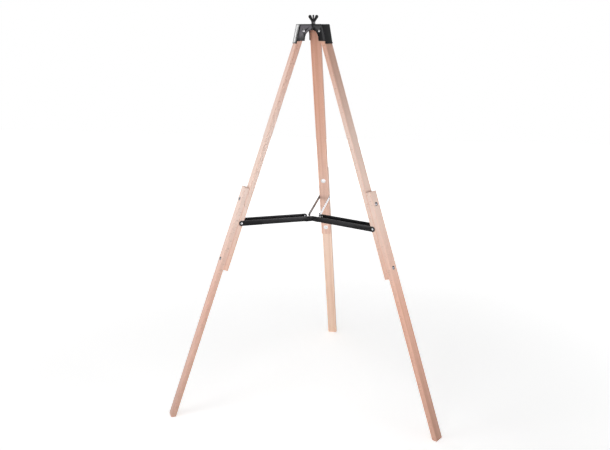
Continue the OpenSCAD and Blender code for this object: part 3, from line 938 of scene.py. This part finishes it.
# Hub rivets: one through each ear of the hub and the link outside it, six in all, on which the links swing.
# Zinc plated steel, painted over with the hub, except for the bright clinched tails inside the front ears.
# The round heads hold the arms' flanges and the flat bars, with a little play.
pin_r = 0.003
pin_head_r = 0.005
pin_head_h = 0.0025
pin_tail_r = 0.00425
pin_tail_h = 0.0018
flange_in = 0.023
flange_out = 0.0245
strut_out = 0.0255
head_play = 0.00015
both_ways = (-math.pi / 2, math.pi / 2)


def rivet(name, outside, painted_from):
    """A rivet along Z: a clinched tail inside the ear, a head outside the link, and paint above a height."""
    inside = ear_out - hub_sheet
    tail = [(r, inside - z) for r, z in reversed(dome(pin_tail_r, pin_tail_h))]
    head = [(r, outside + z) for r, z in dome(pin_head_r, pin_head_h)]
    piece = lathe(name, tail + [(pin_r, inside), (pin_r, outside)] + head)
    smooth(piece, 40)
    two_finishes(piece, pivot_plating, head_paint, painted_from)
    return piece


hub_rivets = []
for side in SIDES:
    face, painted_from = (strut_out, 0) if side == "rear" else (flange_out, flange_out)
    model = rivet("rivet_" + side, face + head_play, painted_from)
    pin = Matrix.Translation(hub_centre) @ leg_turn(side) @ Matrix.Translation((hub_pin_r, 0, 0))
    places = [pin @ Matrix.Rotation(turn, 4, "X") for turn in both_ways]
    hub_rivets.append(copies(model, places, "hub_rivets_" + side))
    bpy.data.objects.remove(model)
hub_rivets = joined(hub_rivets, "hub_rivets")
join_object(hub_rivets, "hub", "zinc_hardware", "hub_pins")


# Channel arms: the two links from the hub to the front legs.
# Sheet steel folded to an open-topped channel, with round-ended flanges longer than its web, painted black.
# The flanges straddle the leg at one end and the hub's ears at the other.
arm_sheet = 0.0015
arm_bend_r = 0.0026
arm_rim = 0.00025
flange_h = 0.0225
flange_round = 0.999
web_back_leg = 0.092
web_back_hub = 0.020
bend_relief = 0.0015
arm_pin_hole_r = 0.00315
arm_screw_hole_r = 0.0026


def link_place(side):
    """Place of a link: X from its hub pin to its outer pivot, Y across it."""
    joint = joints["rear_strut_fold" if side == "rear" else side + "_arm_fold"]
    hub_end = Vector(joint["pos_m"])
    along = (leg_place(side) @ Vector((0, 0, -spreader_depth)) - hub_end).normalized()
    across = Vector(joint["axis"])
    place = Matrix((along, across, along.cross(across))).transposed().to_4x4()
    place.translation = hub_end
    return place


link_l = (leg_place("rear") @ Vector((0, 0, -spreader_depth)) - link_place("rear").translation).length
web_start, web_end = web_back_hub, link_l - web_back_leg


def channel_arm(name):
    flange = sheet_plane(-flange_h / 2, link_l + flange_h / 2, flange_h / 2, 0)
    corners = [vertex.co.copy() for vertex in flange.data.vertices]
    for cut_x in (web_start - bend_relief, web_start, web_end, web_end + bend_relief):
        select_whole(flange)
        bpy.ops.mesh.bisect(plane_co=(cut_x, 0, 0), plane_no=(1, 0, 0))
        edited()
    select(flange, "VERT", lambda point: any((point - corner).length < tiny for corner in corners))
    bpy.ops.mesh.bevel(offset=flange_h / 2 * flange_round, segments=12, affect="VERTICES")
    edited()
    upright = Matrix.Rotation(math.pi / 2, 4, "X")
    places = [Matrix.Translation((0, y, 0)) @ upright for y in (-flange_out, flange_out)]
    arm = copies(flange, places, name)
    bpy.data.objects.remove(flange)
    select(arm, "EDGE", lambda a, b: max(a.z, b.z) < -flange_h / 2 + tiny
           and min(a.x, b.x) > web_start - tiny and max(a.x, b.x) < web_end + tiny)
    bpy.ops.mesh.bridge_edge_loops()
    edited()
    fold_sheet(arm, arm_bend_r, arm_sheet)
    for x, radius in ((0, arm_pin_hole_r), (link_l, arm_screw_hole_r)):
        combine(arm, rod(radius, (x, -board_w, 0), (x, board_w, 0)))
    break_rims(arm, arm_rim)
    return arm


# The arms' rims carry a stronger painted highlight as well as wear.
arm_paint = black_paint("black_enamel_arms", rough_low=0.24, rough_high=0.36, rim_wear_and_sheen_share=0.30, rim_w=0.003)
for side in ("left", "right"):
    arm = settle(channel_arm("channel_arm_" + side), link_place(side))
    finish_piece(arm, arm_paint, side + "_arm", "black_paint", "arm_" + side)


# Arm screws: two at the outer end of each channel arm, one on each side of the leg.
# Pan-headed steel screws with a cross recess, zinc plated and dulled.
# Each goes through a flange towards the edge of the leg's upper board.
screw_r = 0.0025
screw_gap = 0.0002
recess_half_l = 0.0024
recess_half_w = 0.0005
recess_depth = 0.0014


def pan_screw(name, face):
    """A screw along Z with its head on zero, cut off near the leg's side."""
    reach = face - board_w / 2 - screw_gap
    piece = lathe(name, [(0, -reach), (screw_r, -reach), (screw_r, 0)] + dome(pin_head_r, pin_head_h))
    for half_x, half_y in ((recess_half_l, recess_half_w), (recess_half_w, recess_half_l)):
        floor = pin_head_h - recess_depth
        combine(piece, block((-half_x, -half_y, floor), (half_x, half_y, pin_head_h + recess_depth)))
    smooth(piece, 30)
    return piece


def screw_places(side, face):
    end = link_place(side) @ Matrix.Translation((link_l, 0, 0))
    return [end @ Matrix.Rotation(turn, 4, "X") @ Matrix.Translation((0, 0, face)) for turn in both_ways]


screw_plating = plating("zinc_screws", dull=(0.40, 0.405, 0.42, 1), bright=(0.58, 0.585, 0.60, 1), rough=0.20)
arm_screw = pan_screw("arm_screw", flange_out)
for side in ("left", "right"):
    screws = copies(arm_screw, screw_places(side, flange_out), "pivot_screws_" + side)
    finish_piece(screws, screw_plating, side + "_arm", "zinc_hardware", "arm_screws_" + side)
bpy.data.objects.remove(arm_screw)


# Rear bars: the two flat links from the hub to the sides of the rear leg.
# Rolled flat steel with round ends, zinc plated and marked along the bar, the left one darkened with painted
# shade.
# They swing on the outside of the hub's ears and of the leg.
strut_h = 0.016
bar_rim = 0.0004
bar_place = link_place("rear")
# Painted shade: the left bar has darker plating and a weaker glancing tint, for the shade it stands in
# between the bars.
bar_dull_with_shade = {"left": (0.13, 0.115, 0.115, 1), "right": (0.58, 0.585, 0.62, 1)}
bar_bright_with_shade = {"left": (0.24, 0.22, 0.22, 1), "right": (0.74, 0.745, 0.78, 1)}
bar_glance_with_shade = {"left": 0.6, "right": 1.0}
bar_grain = (40, 700, 700)


def flat_bar(name, low_y, high_y, height):
    """A round-ended bar from the hub pin to the outer pivot."""
    sides = 32
    radius = height / 2 / math.cos(math.pi / sides)
    piece = rod(radius, (0, low_y, 0), (0, high_y, 0), sides)
    piece.name = name
    settle(piece, Matrix.Rotation(math.pi / sides, 4, "Y"))
    select(piece, "VERT", lambda point: point.x > 0)
    bpy.ops.transform.translate(value=(link_l, 0, 0))
    edited()
    for x, hole_r in ((0, arm_pin_hole_r), (link_l, arm_screw_hole_r)):
        combine(piece, rod(hole_r, (x, low_y - strut_h, 0), (x, high_y + strut_h, 0)))
    break_rims(piece, bar_rim)
    return piece


for side, low_y, high_y in (("left", flange_in, strut_out), ("right", -strut_out, -flange_in)):
    bar = settle(flat_bar("flat_bar_" + side, low_y, high_y, strut_h), bar_place)
    bar_plating = plating("zinc_bar_" + side, bar_dull_with_shade[side], bar_bright_with_shade[side], rough=0.12, grain=bar_grain,
                          place=bar_place, glance_shade=bar_glance_with_shade[side])
    finish_piece(bar, bar_plating, "rear_struts", "zinc_bar", "strut_rear_" + side)


# Rear screws: one at the outer end of each flat bar.
# The same pan-headed screws as on the arms, a little longer for the thicker bars.
# They hold the bars at the edges of the rear leg's upper board.
bar_screw = pan_screw("bar_screw", strut_out)
rear_screws = copies(bar_screw, screw_places("rear", strut_out), "pivot_screws_rear")
finish_piece(rear_screws, screw_plating, "rear_struts", "zinc_hardware", "strut_screws_rear")
bpy.data.objects.remove(bar_screw)


# Floor: a plain white studio floor that keeps the stand's soft shadow.
# A matt sweep, lifted to white where the camera sees it lit.
floor_size = 14
floor_gap = 0.0005
floor_grey = (0.86, 0.86, 0.86, 1)
near_r, far_r = 0.5, 3.5
near_lift, far_lift = 0.47, 1.0


def seen_directly(owner):
    """One where the camera, a reflection or glass looks at it, and nothing where it only lights the stand."""
    ray = add_node(owner, "ShaderNodeLightPath").outputs
    seen = calc(owner, "MAXIMUM", ray["Is Camera Ray"], ray["Is Glossy Ray"])
    return calc(owner, "MAXIMUM", seen, ray["Is Transmission Ray"])


floor = fresh(bpy.ops.mesh.primitive_plane_add, size=floor_size, location=(0, 0, -floor_gap))
floor.name = "studio_floor"
sweep = bpy.data.materials.new("studio_sweep")
sweep.use_nodes = True
sweep.node_tree.nodes.clear()
matt = add_node(sweep, "ShaderNodeBsdfDiffuse", {"Color": floor_grey})
from_middle = add_node(sweep, "ShaderNodeVectorMath", {0: object_point(sweep)}, operation="LENGTH")
white_share = spread(sweep, from_middle.outputs["Value"], near_r, far_r, near_lift, far_lift)
white_seen = calc(sweep, "MULTIPLY", seen_directly(sweep), white_share)
lift = add_node(sweep, "ShaderNodeEmission", {"Strength": white_seen})
both = add_node(sweep, "ShaderNodeAddShader", {0: matt.outputs[0], 1: lift.outputs[0]})
add_node(sweep, "ShaderNodeOutputMaterial", {"Surface": both.outputs[0]})
floor.data.materials.append(sweep)


# Studio: a white room that the camera and the metal see, and soft light from it.
# Soft boxes stand in front, the main one on the left, two in the middle and one on the right, and one behind.
# A bright card on the right, which only the paint and the metal mirror, gives the head its sheen.
room_light = 0.34
white = (1, 1, 1, 1)
world = bpy.data.worlds.new("white_room")
bpy.context.scene.world = world
world.use_nodes = True
world.node_tree.nodes.clear()
room = add_node(world, "ShaderNodeBackground", {"Color": white, "Strength": room_light})
shown = add_node(world, "ShaderNodeBackground", {"Color": white, "Strength": 1.0})
inputs = {0: seen_directly(world), 1: room.outputs[0], 2: shown.outputs[0]}
chosen = add_node(world, "ShaderNodeMixShader", inputs)
add_node(world, "ShaderNodeOutputWorld", {"Surface": chosen.outputs[0]})


def soft_box(name, where, aim, size, power, spread_deg):
    """A soft box with a grid that keeps its light within an angle."""
    lamp = bpy.data.lights.new(name, "AREA")
    lamp.shape = "RECTANGLE"
    lamp.size, lamp.size_y = size
    lamp.energy = power
    lamp.spread = math.radians(spread_deg)
    holder = bpy.data.objects.new(name, lamp)
    bpy.context.scene.collection.objects.link(holder)
    holder.visible_camera = False
    where = Vector(where)
    holder.location = where
    holder.rotation_euler = (Vector(aim) - where).to_track_quat("-Z", "Y").to_euler()
    return holder


laps = (0, -0.2, 0.95)
upper_legs = (0, -0.2, 1.2)
rear_foot = (0, 0.5, 0.05)
right_lap = (0.3, -0.35, 0.85)
soft_box("main_box", (-1.62, -1.47, 1.2), laps, size=(1.0, 1.3), power=5.6, spread_deg=90)
soft_box("front_box", (-0.4, -2.6, 1.4), upper_legs, size=(1.2, 0.8), power=3.1, spread_deg=90)
soft_box("low_box", (0, -2.4, 0.4), rear_foot, size=(0.8, 0.6), power=1.55, spread_deg=45)
soft_box("right_box", (1.7, -1.2, 0.95), right_lap, size=(0.8, 0.8), power=2.6, spread_deg=70)
soft_box("back_box", (-1.55, 1.15, 1.95), head_centre, size=(0.3, 0.6), power=4.8, spread_deg=180)
sheen_card = soft_box("sheen_card", (1.73, -1.66, 1.58), head_centre, size=(0.8, 1.0), power=30.0,
                      spread_deg=180)
sheen_card.visible_diffuse = False
sheen_card.data.color = (0.96, 0.90, 1.0)


# Camera: stands a little to the right of the front at the height of the head, looking down at the stand.
# Its place, turn and lens are those that the photo of the stand was taken with, as measured from it.
axis_ground = Vector((head_centre.x, head_centre.y, 0))
view_azimuth = math.radians(9.279)
view_distance = 3.090078
view_height = 1.683747
view_pitch = math.radians(15.978)
view_yaw = math.radians(0.680)
view_roll = math.radians(-0.187)
photo_width_px = 610
focal_px = 731.997
from_axis = Vector((math.sin(view_azimuth), -math.cos(view_azimuth), 0)) * view_distance
heading = view_azimuth + view_yaw
ahead = Vector((-math.sin(heading), math.cos(heading), 0)) * math.cos(view_pitch) - UP * math.sin(view_pitch)
right = Vector((math.cos(heading), math.sin(heading), 0))
above = right.cross(ahead)
rolled_right = right * math.cos(view_roll) + above * math.sin(view_roll)
rolled_above = above * math.cos(view_roll) - right * math.sin(view_roll)
lens = bpy.data.cameras.new("camera")
lens.sensor_fit = "HORIZONTAL"
lens.sensor_width = 36
lens.lens = focal_px / photo_width_px * lens.sensor_width
camera = bpy.data.objects.new("camera", lens)
bpy.context.scene.collection.objects.link(camera)
camera.matrix_world = Matrix((rolled_right, rolled_above, -ahead)).transposed().to_4x4()
camera.location = axis_ground + from_axis + UP * view_height
bpy.context.scene.camera = camera
bpy.context.scene.view_settings.view_transform = "Standard"
